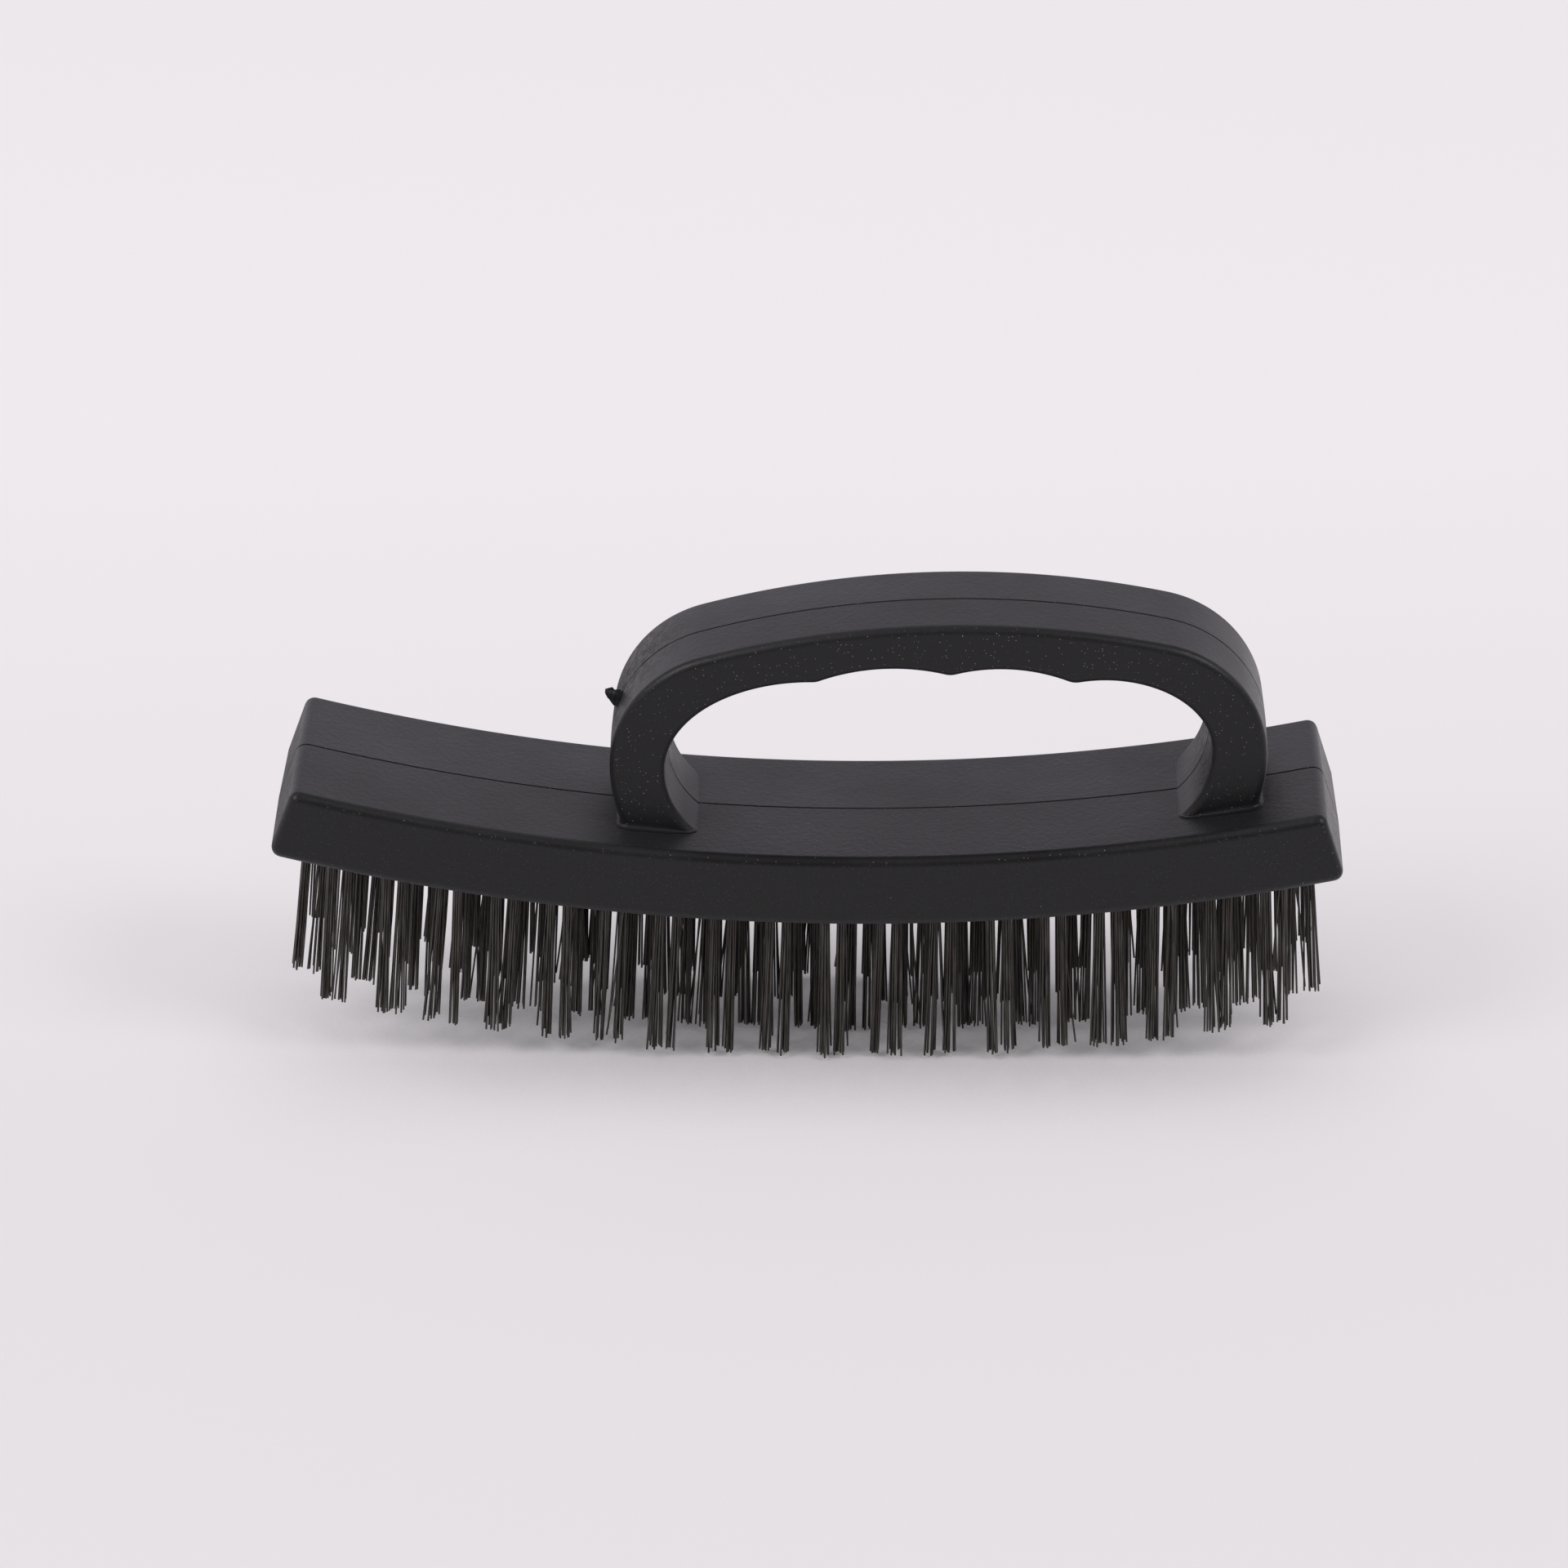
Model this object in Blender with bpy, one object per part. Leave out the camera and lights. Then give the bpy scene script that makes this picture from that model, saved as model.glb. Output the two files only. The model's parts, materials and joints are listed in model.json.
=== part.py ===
"""Hand wire brush: moulded block with a D-shaped grip, and four staggered rows of wire tufts.

Every shape is first built in the block's own frame: X along the block, Y across it, Z up,
with the origin at the lowest point of the hollow-curved top face. The finished pieces are
then rocked by REST_TILT, because the brush rests on its curved trim a little nose-up.
"""
import math

import bmesh
import bpy
from mathutils import Matrix, Vector

# ---- driving dimensions, metres ----
ARC_R = 0.4163            # radius of the block's curved top face
BLOCK_T = 0.0148          # block thickness, measured along the radius
BLOCK_HALF_W = 0.0216     # half of the block's width
END_ANGLE_TOP = 0.2365    # half of the block's length at its top face, as an angle in radians
END_ANGLE_BOT = 0.2395    # the same at the underside
BLOCK_EDGE_R = 0.0018     # rounding of the block's edges
BLOCK_SECTIONS = 24       # cross-sections along the block

GRIP_HALF_W = 0.0131      # half of the grip's width
GRIP_EDGE_R = 0.0016      # rounding of the grip's edges
CREST_R = 0.185           # crown of the grip's top line
CREST_X = 0.0335          # highest point of the grip
CREST_Z = 0.0452
SHOULDER_R = 0.0240       # both outer shoulders
LEFT_OUT_X = -0.0379      # widest points of the grip
LEFT_OUT_Z = 0.0141
RIGHT_OUT_X = 0.0867
RIGHT_OUT_Z = 0.0183
HEEL_R = 0.034            # the legs tuck in below their widest points
INNER_LEFT_X = -0.0271    # the finger opening
INNER_LEFT_Z = 0.0135
INNER_RIGHT_X = 0.0759
INNER_RIGHT_Z = 0.0195
FLARE_LEFT_R = 0.017      # inner sides of the legs spread into the block
FLARE_RIGHT_R = 0.0193
GROOVE_END_LEFT = (0.0010, 0.0322)    # soft points between the finger grooves
GROOVE_MID = (0.0262, 0.0342)
GROOVE_END_RIGHT = (0.0494, 0.0332)
GROOVE_RISE = 0.0021      # depth of the two middle finger grooves
LAST_GROOVE_X = 0.0560    # top of the finger groove nearest the right leg
LAST_GROOVE_Z = 0.0340
LEG_SINK = 0.0040         # how far the legs run into the block before they are joined to it

NUB_X = -0.0366           # torn stub of the moulding gate, on the left shoulder
NUB_Z = 0.0220
NUB_LEN = 0.0036
NUB_R = 0.0013

ROW_Y = (-0.01575, -0.00525, 0.00525, 0.01575)
ROW_COUNT = (18, 19, 18, 19)
TUFT_PITCH = 0.01045      # along a row, at the block's underside
TUFT_FAN = 0.021          # growth of the pitch from the underside to the tips
TRIM_LEN = 0.0312         # free length of the wires below the block
HOLE_R = 0.0027
HOLE_DEPTH = 0.0112
HOLE_SIDES = 12

LEG_GAP_MOUTH = 0.0016    # half distance between a tuft's two legs
LEG_GAP_TIP = 0.0025
LEG_GAP_FOLD = 0.0008
LEG_MOUTH = (0.0007, 0.0006)    # half thickness of a leg along X and across Y
LEG_TIP = (0.0010, 0.0009)
FOLD_DROP = 0.0010        # from the hole's bottom to the middle of the folded wires
ANCHOR_HALF_LEN = 0.0023  # the anchor staple reaches this far to each side of the fold
TIE_DROP = 0.0004         # the bar that ties a pair starts this far below the block
TIE_HEIGHT = 0.0010

REST_TILT = math.radians(0.987)

ARC_STEPS = 10


def new_material(name, colour, rough, metal):
    mat = bpy.data.materials.new(name)
    mat.use_nodes = True
    bsdf = mat.node_tree.nodes["Principled BSDF"]
    bsdf.inputs["Base Color"].default_value = (*colour, 1.0)
    bsdf.inputs["Roughness"].default_value = rough
    bsdf.inputs["Metallic"].default_value = metal
    mat.diffuse_color = (*colour, 1.0)
    return mat


def add_object(name, verts, faces, mat):
    mesh = bpy.data.meshes.new(name)
    mesh.from_pydata([tuple(v) for v in verts], [], faces)
    mesh.validate()
    bm = bmesh.new()
    bm.from_mesh(mesh)
    bmesh.ops.recalc_face_normals(bm, faces=bm.faces)
    bm.to_mesh(mesh)
    bm.free()
    obj = bpy.data.objects.new(name, mesh)
    bpy.context.scene.collection.objects.link(obj)
    if mat is not None:
        mesh.materials.append(mat)
    return obj


def smooth(obj, angle):
    mesh = obj.data
    mesh.shade_smooth()
    mesh.set_sharp_from_angle(angle=math.radians(angle))


def on_arc(angle, depth):
    """Point in the XZ plane at an angle along the block, a depth below its top face."""
    r = ARC_R + depth
    return r * math.sin(angle), ARC_R - r * math.cos(angle)


def arc_z(x, depth):
    """Height of the curved surface that lies a depth below the top face."""
    r = ARC_R + depth
    return ARC_R - math.sqrt(r * r - x * x)


def arc_points(cx, cz, rx, rz, start, end, steps):
    """Points on an ellipse in the XZ plane; angles in degrees from +X towards +Z."""
    out = []
    for i in range(steps + 1):
        a = math.radians(start + (end - start) * i / steps)
        out.append((cx + rx * math.cos(a), cz + rz * math.sin(a)))
    return out


def chord_arc(p, q, rise, steps):
    """Arc from p to q that bulges upwards by rise, without its end points."""
    (x0, z0), (x1, z1) = p, q
    half = math.hypot(x1 - x0, z1 - z0) / 2
    r = (half * half + rise * rise) / (2 * rise)
    mx, mz = (x0 + x1) / 2, (z0 + z1) / 2
    ux, uz = (x1 - x0) / (2 * half), (z1 - z0) / (2 * half)
    cx, cz = mx + uz * (r - rise), mz - ux * (r - rise)
    a0 = math.degrees(math.atan2(z0 - cz, x0 - cx))
    a1 = math.degrees(math.atan2(z1 - cz, x1 - cx))
    return arc_points(cx, cz, r, r, a0, a1, steps)[1:-1]


# ---- block ----

def make_block(mat):
    corners = ((-BLOCK_HALF_W, 0.0), (BLOCK_HALF_W, 0.0),
               (BLOCK_HALF_W, BLOCK_T), (-BLOCK_HALF_W, BLOCK_T))
    verts = []
    faces = []
    for i in range(BLOCK_SECTIONS + 1):
        share = -1 + 2 * i / BLOCK_SECTIONS
        for y, depth in corners:
            end = END_ANGLE_TOP + (END_ANGLE_BOT - END_ANGLE_TOP) * depth / BLOCK_T
            x, z = on_arc(share * end, depth)
            verts.append((x, y, z))
    for i in range(BLOCK_SECTIONS):
        for k in range(4):
            m = (k + 1) % 4
            faces.append((4 * i + k, 4 * i + m, 4 * i + 4 + m, 4 * i + 4 + k))
    faces.append((0, 1, 2, 3))
    last = 4 * BLOCK_SECTIONS
    faces.append((last, last + 1, last + 2, last + 3))
    obj = add_object("body", verts, faces, mat)
    bm = bmesh.new()
    bm.from_mesh(obj.data)
    sharp = [e for e in bm.edges if e.calc_face_angle(0.0) > math.radians(60)]
    bmesh.ops.bevel(bm, geom=sharp, offset=BLOCK_EDGE_R, offset_type="OFFSET",
                    segments=3, profile=0.5, affect="EDGES", clamp_overlap=True)
    bm.to_mesh(obj.data)
    bm.free()
    return obj


# ---- grip ----

def crest_join(cx, side):
    """Where a shoulder arc centred at cx meets the crown, as an angle from +Z."""
    return math.asin((cx - CREST_X) * side / (CREST_R - SHOULDER_R)) * side


def outer_line():
    """Outer line of the grip in XZ, from the left foot over the crest to the right foot."""
    crown_cz = CREST_Z - CREST_R
    left_cx = LEFT_OUT_X + SHOULDER_R
    right_cx = RIGHT_OUT_X - SHOULDER_R
    join_l = math.degrees(crest_join(left_cx, -1))
    join_r = math.degrees(crest_join(right_cx, 1))
    foot_z = arc_z(LEFT_OUT_X, 0.0) - LEG_SINK
    drop = math.degrees(math.asin((LEFT_OUT_Z - foot_z) / HEEL_R))
    pts = arc_points(LEFT_OUT_X + HEEL_R, LEFT_OUT_Z, HEEL_R, HEEL_R, 180 + drop, 180, 4)
    pts += arc_points(left_cx, LEFT_OUT_Z, SHOULDER_R, SHOULDER_R, 180, 90 - join_l, ARC_STEPS)[1:]
    lift_l = pts[-1][1] - (crown_cz + CREST_R * math.cos(math.radians(join_l)))
    right = arc_points(right_cx, RIGHT_OUT_Z, SHOULDER_R, SHOULDER_R, 90 - join_r, 0, ARC_STEPS)
    lift_r = right[0][1] - (crown_cz + CREST_R * math.cos(math.radians(join_r)))
    crown = arc_points(CREST_X, crown_cz, CREST_R, CREST_R, 90 - join_l, 90 - join_r, 14)[1:-1]
    for i, (x, z) in enumerate(crown):
        t = (i + 1) / (len(crown) + 1)
        ease = (1 - t) ** 3 * lift_l + t ** 3 * lift_r
        pts.append((x, z + ease))
    pts += right
    foot_z = arc_z(RIGHT_OUT_X, 0.0) - LEG_SINK
    drop = math.degrees(math.asin((RIGHT_OUT_Z - foot_z) / HEEL_R))
    pts += arc_points(RIGHT_OUT_X - HEEL_R, RIGHT_OUT_Z, HEEL_R, HEEL_R, 0, -drop, 4)[1:]
    return pts


def inner_line():
    """Line of the finger opening in XZ, from the right foot over the grooves to the left foot."""
    foot_x, foot_z = INNER_RIGHT_X - 0.008, 0.0
    for _ in range(6):
        foot_z = arc_z(foot_x, 0.0) - LEG_SINK / 2
        fall = min((INNER_RIGHT_Z - foot_z) / FLARE_RIGHT_R, 0.99)
        foot_x = INNER_RIGHT_X - FLARE_RIGHT_R * (1 - math.cos(math.asin(fall)))
    drop = math.degrees(math.asin(fall))
    pts = arc_points(INNER_RIGHT_X - FLARE_RIGHT_R, INNER_RIGHT_Z, FLARE_RIGHT_R, FLARE_RIGHT_R,
                     -drop, 0, 6)
    rx = INNER_RIGHT_X - LAST_GROOVE_X
    rz = LAST_GROOVE_Z - INNER_RIGHT_Z
    stop = math.degrees(math.acos((GROOVE_END_RIGHT[0] - LAST_GROOVE_X) / rx))
    pts += arc_points(LAST_GROOVE_X, INNER_RIGHT_Z, rx, rz, 0, stop, 12)[1:]
    join_r = pts[-1]
    pts += chord_arc(GROOVE_MID, join_r, GROOVE_RISE, 8)[::-1]
    pts.append(GROOVE_MID)
    pts += chord_arc(GROOVE_END_LEFT, GROOVE_MID, GROOVE_RISE, 8)[::-1]
    rx = GROOVE_END_LEFT[0] - INNER_LEFT_X
    rz = GROOVE_END_LEFT[1] - INNER_LEFT_Z
    pts += arc_points(GROOVE_END_LEFT[0], INNER_LEFT_Z, rx, rz, 90, 180, 14)
    foot_x = INNER_LEFT_X + 0.008
    for _ in range(6):
        foot_z = arc_z(foot_x, 0.0) - LEG_SINK / 2
        fall = min((INNER_LEFT_Z - foot_z) / FLARE_LEFT_R, 0.99)
        foot_x = INNER_LEFT_X + FLARE_LEFT_R * (1 - math.cos(math.asin(fall)))
    drop = math.degrees(math.asin(fall))
    pts += arc_points(INNER_LEFT_X + FLARE_LEFT_R, INNER_LEFT_Z, FLARE_LEFT_R, FLARE_LEFT_R,
                      180, 180 + drop, 6)[1:]
    return pts


def line_normals(pts):
    """Unit normals of an open line, scaled so that an offset keeps its distance."""
    out = []
    last = len(pts) - 1
    for i, (x, z) in enumerate(pts):
        before = Vector((x - pts[i - 1][0], z - pts[i - 1][1])) if i > 0 else None
        after = Vector((pts[i + 1][0] - x, pts[i + 1][1] - z)) if i < last else None
        d0 = (before or after).normalized()
        d1 = (after or before).normalized()
        n0 = Vector((-d0.y, d0.x))
        mid = (n0 + Vector((-d1.y, d1.x))).normalized()
        out.append(mid / mid.dot(n0))
    return out


def make_grip(mat):
    outer = outer_line()
    inner = inner_line()
    line = outer + inner
    normals = line_normals(outer) + line_normals(inner)
    layers = []
    for k in range(4):
        a = math.radians(30 * k)
        inset = GRIP_EDGE_R * (1 - math.sin(a))
        layers.append((inset, -(GRIP_HALF_W - GRIP_EDGE_R * (1 - math.cos(a)))))
    layers += [(inset, -y) for inset, y in reversed(layers)]
    verts = []
    for inset, y in layers:
        for (x, z), nrm in zip(line, normals):
            verts.append((x - nrm.x * inset, y, z - nrm.y * inset))
    n = len(line)
    faces = [tuple(range(n)), tuple((len(layers) - 1) * n + i for i in range(n))]
    for s in range(len(layers) - 1):
        for i in range(n):
            j = (i + 1) % n
            faces.append((s * n + i, s * n + j, (s + 1) * n + j, (s + 1) * n + i))
    return add_object("grip_tool", verts, faces, mat)


def make_nub(mat):
    """Torn stub of the gate: a small irregular cone that leaves the shoulder sideways."""
    axis = Vector((NUB_X - LEFT_OUT_X - SHOULDER_R, 0.0, NUB_Z - LEFT_OUT_Z)).normalized()
    root = Vector((NUB_X, 0.0, NUB_Z)) - axis * NUB_R
    side = Vector((0.0, 1.0, 0.0))
    up = axis.cross(side)
    verts = []
    faces = []
    sides = 6
    for height, scale in ((0.0, 1.25), (0.5, 1.0), (0.85, 0.72)):
        centre = root + axis * (NUB_LEN * height)
        for k in range(sides):
            a = 2 * math.pi * k / sides
            r = NUB_R * scale * (1.0 + 0.15 * math.cos(3 * a))
            verts.append(centre + side * (r * math.cos(a)) + up * (r * math.sin(a)))
    verts.append(root + axis * NUB_LEN * 1.05 + up * NUB_R * 0.4)
    faces.append(tuple(range(sides)))
    for s in range(2):
        for k in range(sides):
            m = (k + 1) % sides
            faces.append((s * sides + k, s * sides + m, (s + 1) * sides + m, (s + 1) * sides + k))
    for k in range(sides):
        faces.append((2 * sides + k, 2 * sides + (k + 1) % sides, 3 * sides))
    return add_object("nub_tool", verts, faces, mat)


# ---- tufts ----

def tuft_frame(x_mouth, y):
    """Matrix of a tuft: its origin at the hole's mouth, local Z up along the hole."""
    z_mouth = arc_z(x_mouth, BLOCK_T)
    x_tip = x_mouth * (1 + TUFT_FAN)
    axis = Vector((x_mouth - x_tip, 0.0, TRIM_LEN)).normalized()
    across = Vector((0.0, 1.0, 0.0))
    along = across.cross(axis)
    return Matrix(((along.x, 0.0, axis.x, x_mouth),
                   (along.y, 1.0, axis.y, y),
                   (along.z, 0.0, axis.z, z_mouth),
                   (0.0, 0.0, 0.0, 1.0)))


def hole_verts(frame):
    out = []
    for height in (-0.002, HOLE_DEPTH):
        for k in range(HOLE_SIDES):
            a = 2 * math.pi * (k + 0.5) / HOLE_SIDES
            out.append(frame @ Vector((HOLE_R * math.cos(a), HOLE_R * math.sin(a), height)))
    return out


def make_hole_cutter(places):
    verts = []
    faces = []
    n = HOLE_SIDES
    for x, y in places:
        base = len(verts)
        verts += hole_verts(tuft_frame(x, y))
        faces.append(tuple(base + i for i in range(n)))
        faces.append(tuple(base + n + i for i in range(n)))
        for i in range(n):
            j = (i + 1) % n
            faces.append((base + i, base + j, base + n + j, base + n + i))
    cutter = add_object("hole_cutter", verts, faces, None)
    cutter.hide_render = True
    cutter.display_type = "WIRE"
    return cutter


def leg_ring(centre, half, side):
    """Six points around a leg; the sides between points 1-2 and 4-5 face across the brush."""
    out = []
    for k in range(6):
        a = math.radians(60 * k)
        out.append(centre + Vector((-side * half[0] * math.cos(a),
                                    half[1] * math.sin(a) / math.sin(math.radians(60)), 0.0)))
    return out


def fold_ring(side):
    """The mitred corner where a leg turns over the anchor."""
    out = []
    for p in leg_ring(Vector((side * LEG_GAP_FOLD, 0.0, HOLE_DEPTH - FOLD_DROP)), LEG_MOUTH, side):
        out.append(p + Vector((0.0, 0.0, side * (p.x - side * LEG_GAP_FOLD))))
    return out


def half_tuft(side, tied):
    """Rings of one leg from its tip up to the fold, in the tuft's own frame."""
    heights = [TRIM_LEN]
    if tied:
        heights += [TIE_DROP + TIE_HEIGHT, TIE_DROP]
    heights.append(0.0)
    rings = []
    for low in heights:
        t = low / TRIM_LEN
        gap = LEG_GAP_MOUTH + (LEG_GAP_TIP - LEG_GAP_MOUTH) * t
        half = [m + (p - m) * t for m, p in zip(LEG_MOUTH, LEG_TIP)]
        rings.append(leg_ring(Vector((side * gap, 0.0, -low)), half, side))
    rings.append(fold_ring(side))
    return rings


def tuft_solid(x_mouth, y, tied_side, base):
    """Vertices, faces and the tying bar's end quad of one folded tuft."""
    frame = tuft_frame(x_mouth, y)
    left = half_tuft(-1, tied_side == -1)
    right = half_tuft(1, tied_side == 1)
    rings = left + right[::-1]
    trim_r = ARC_R + BLOCK_T + TRIM_LEN
    verts = []
    for s, ring in enumerate(rings):
        for p in ring:
            q = frame @ p
            if s in (0, len(rings) - 1):
                q.z = ARC_R - math.sqrt(trim_r * trim_r - q.x * q.x)
            verts.append(q)
    fold = len(left) - 1
    open_sides = {(fold, 1), (fold, 4)}
    tie_quad = None
    if tied_side == 1:
        upper = fold + 3
        open_sides.add((upper, 1))
        tie_quad = [6 * upper + 1, 6 * upper + 2, 6 * upper + 8, 6 * upper + 7]
    if tied_side == -1:
        open_sides.add((1, 4))
        tie_quad = [16, 17, 11, 10]
    faces = [list(range(6)), [6 * (len(rings) - 1) + k for k in range(6)]]
    for s in range(len(rings) - 1):
        for k in range(6):
            if (s, k) not in open_sides:
                m = (k + 1) % 6
                faces.append([6 * s + k, 6 * s + m, 6 * s + 6 + m, 6 * s + 6 + k])
    for k, way in ((1, 1), (4, -1)):
        quad = [6 * fold + k, 6 * fold + k + 1, 6 * fold + k + 7, 6 * fold + k + 6]
        start = len(verts)
        for i in quad:
            q = verts[i].copy()
            q.y = y + way * ANCHOR_HALF_LEN
            verts.append(q)
        faces.append([start, start + 1, start + 2, start + 3])
        for i in range(4):
            j = (i + 1) % 4
            faces.append([quad[i], quad[j], start + j, start + i])
    faces = [[base + i for i in f] for f in faces]
    if tie_quad:
        tie_quad = [base + i for i in tie_quad]
    return verts, faces, tie_quad


def make_tuft(name, places, mat):
    """One tuft, or two neighbours tied by a short bar just below the block."""
    verts = []
    faces = []
    ties = []
    for n, (x, y) in enumerate(places):
        tied_side = 0 if len(places) == 1 else 1 - 2 * n
        v, f, tie = tuft_solid(x, y, tied_side, len(verts))
        verts += v
        faces += f
        ties.append(tie)
    if len(places) == 2:
        for i in range(4):
            j = (i + 1) % 4
            faces.append([ties[0][i], ties[0][j], ties[1][j], ties[1][i]])
    obj = add_object(name, verts, faces, mat)
    smooth(obj, 50)
    return obj


def row_x(row, index):
    return (index - (ROW_COUNT[row] - 1) / 2) * TUFT_PITCH


def add_boolean(obj, tool, operation):
    mod = obj.modifiers.new(tool.name, "BOOLEAN")
    mod.operation = operation
    mod.object = tool
    mod.solver = "EXACT"
    tool.hide_render = True
    tool.display_type = "WIRE"


def main():
    for obj in list(bpy.data.objects):
        bpy.data.objects.remove(obj, do_unlink=True)

    plastic = new_material("body_plastic", (0.036, 0.035, 0.038), 0.46, 0.0)
    wire = new_material("tuft_wire", (0.110, 0.100, 0.092), 0.42, 0.85)

    body = make_block(plastic)
    add_boolean(body, make_grip(plastic), "UNION")
    add_boolean(body, make_nub(plastic), "UNION")
    places = [(row_x(row, i), ROW_Y[row]) for row in range(4) for i in range(ROW_COUNT[row])]
    add_boolean(body, make_hole_cutter(places), "DIFFERENCE")

    solids = [body]
    for i in range(ROW_COUNT[0]):
        name = "tuft_row1_%02d" % (i + 1)
        solids.append(make_tuft(name, [(row_x(0, i), ROW_Y[0])], wire))
    for i in range(ROW_COUNT[1]):
        pair = [(row_x(1, i), ROW_Y[1])]
        if i < ROW_COUNT[2]:
            pair.append((row_x(2, i), ROW_Y[2]))
            name = "tuft_pair_row2_row3_%02d" % (i + 1)
        else:
            name = "tuft_row2_%02d" % (i + 1)
        solids.append(make_tuft(name, pair, wire))
    for i in range(ROW_COUNT[3]):
        name = "tuft_row4_%02d" % (i + 1)
        solids.append(make_tuft(name, [(row_x(3, i), ROW_Y[3])], wire))

    rock = Matrix.Rotation(REST_TILT, 4, "Y")
    for obj in bpy.data.objects:
        obj.data.transform(rock)
    low = min(v.co.z for obj in solids for v in obj.data.vertices)
    ends = [v.co.x for v in body.data.vertices]
    shift = Matrix.Translation((-(min(ends) + max(ends)) / 2, 0.0, -low))
    for obj in bpy.data.objects:
        obj.data.transform(shift)
    smooth(body, 35)


main()
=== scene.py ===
"""Looks of the hand wire brush: fine mouldings, single wires, materials, light and camera.

Shapes are built in the block's own frame, as in the CAD: X along the block, Y across it, Z up,
origin at the lowest point of the hollow-curved top face. settle() then puts them in the frame.
"""
import json
import math
import random

import bmesh
import bpy
from mathutils import Matrix, Vector

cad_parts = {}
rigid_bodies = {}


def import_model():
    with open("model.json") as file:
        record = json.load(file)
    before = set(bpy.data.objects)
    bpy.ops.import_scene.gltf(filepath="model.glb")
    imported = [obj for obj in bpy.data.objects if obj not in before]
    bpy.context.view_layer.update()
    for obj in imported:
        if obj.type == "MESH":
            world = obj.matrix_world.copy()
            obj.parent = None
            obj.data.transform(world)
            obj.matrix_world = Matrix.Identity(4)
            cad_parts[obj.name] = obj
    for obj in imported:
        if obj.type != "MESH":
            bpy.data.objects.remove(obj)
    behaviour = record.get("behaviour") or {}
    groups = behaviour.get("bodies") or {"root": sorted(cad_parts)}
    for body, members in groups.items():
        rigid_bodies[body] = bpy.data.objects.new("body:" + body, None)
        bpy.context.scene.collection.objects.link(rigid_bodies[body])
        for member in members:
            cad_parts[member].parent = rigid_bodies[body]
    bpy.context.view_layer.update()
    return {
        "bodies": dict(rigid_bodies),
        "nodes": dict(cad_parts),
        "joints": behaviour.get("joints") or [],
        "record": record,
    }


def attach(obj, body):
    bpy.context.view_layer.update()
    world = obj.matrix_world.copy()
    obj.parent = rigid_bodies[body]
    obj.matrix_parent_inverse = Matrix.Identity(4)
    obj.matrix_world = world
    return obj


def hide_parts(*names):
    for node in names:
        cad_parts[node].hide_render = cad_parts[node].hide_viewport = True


# ---- the CAD's driving dimensions, metres ----
ARC_R = 0.4163
BLOCK_T = 0.0148
BLOCK_HALF_W = 0.0216
END_ANGLE_TOP = 0.2365
END_ANGLE_BOT = 0.2395
BLOCK_EDGE_R = 0.0018
BLOCK_CORNER_R = 0.0022   # rounding of the block's four corners, seen from the front

GRIP_HALF_W = 0.0131
GRIP_EDGE_R = 0.0016
CREST_R = 0.185
CREST_X = 0.0335
CREST_Z = 0.0452
SHOULDER_R = 0.0240
LEFT_OUT_X = -0.0379
LEFT_OUT_Z = 0.0141
RIGHT_OUT_X = 0.0867
RIGHT_OUT_Z = 0.0183
HEEL_R = 0.034
INNER_LEFT_X = -0.0271
INNER_LEFT_Z = 0.0135
INNER_RIGHT_X = 0.0759
INNER_RIGHT_Z = 0.0195
FLARE_LEFT_R = 0.017
FLARE_RIGHT_R = 0.0193
GROOVE_END_LEFT = (0.0010, 0.0322)
GROOVE_MID = (0.0262, 0.0342)
GROOVE_END_RIGHT = (0.0494, 0.0332)
GROOVE_RISE = 0.0021
LAST_GROOVE_X = 0.0560
LAST_GROOVE_Z = 0.0340
LEG_SINK = 0.0040
CUSP_R = 0.0040           # rounding of the points between the finger grooves

# ---- the moulding's finer features ----
SEAM_Y = -0.0005          # the mould's parting line runs here
SEAM_HALF_W = 0.00025
SEAM_DEPTH = 0.00055
DRAFT = 0.012             # the halves narrow away from the parting line by this slope
EDGE_STEPS = 5            # facets in a rounded edge
CORNER_STEPS = 6          # facets in a rounded corner
ARC_STEPS = 72            # facets along the block's arcs
HEEL_STEPS = 10           # facets along the arcs of the grip's outline
SHOULDER_STEPS = 28
CREST_STEPS = 42
FLARE_STEPS = 16
GROOVE_STEPS = 20
FIRST_GROOVE_STEPS = 40
LAST_GROOVE_STEPS = 36
FOOT_FILLET = 0.0010      # inside rounding where the grip meets the block
FLARE_ROUNDING = 0.4      # share of it beside a flare's corners
FLARE_BLEND = 0.12        # share of it where a flare runs out into the block
FOOT_SINK = 0.0005        # how far the fillets' rings reach into the solid
FOOT_SPLITS = 10          # parts that a long side of a foot's outline is cut into
SHARP_MOULDING = math.radians(32)
SHARP_WIRE = math.radians(70)

# ---- stub of the moulding gate ----
NUB_R = 0.00145
NUB_SIDES = 12
NUB_ROOT = Vector((-0.0362, SEAM_Y, 0.0222))
NUB_LEVELS = ((-0.0008, 1.45), (0.0002, 1.15), (0.0008, 0.98), (0.0015, 0.92),
              (0.0021, 0.70), (0.0026, 0.42))     # height, share of the radius
NUB_FLAT = 0.85           # its width against its height
NUB_ROUND_BELOW = 0.0003
NUB_TORN_ABOVE = 0.001
NUB_TIP = 0.0036
NUB_STRETCH = 1.15
NUB_LEAN = 0.30
NUB_RAGGED = 0.26
NUB_JAG = 0.00032
GATE_MARKS = (-0.0340, 0.004, 0.0260)             # centre of the torn flow marks round it

ROW_Y = (-0.01575, -0.00525, 0.00525, 0.01575)
ROW_COUNT = (18, 19, 18, 19)
TUFT_PITCH = 0.01045
TUFT_FAN = 0.021
TRIM_LEN = 0.0312
HOLE_R = 0.0027
HOLE_DEPTH = 0.0112
HOLE_SIDES = 24
HOLE_CONE = 0.0008        # height of the cone at a hole's bottom
HOLE_CONE_SHARE = 0.55    # its end's share of the hole's radius
HOLE_OVERCUT = 0.002      # how far the cutter stands out of the block

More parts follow.
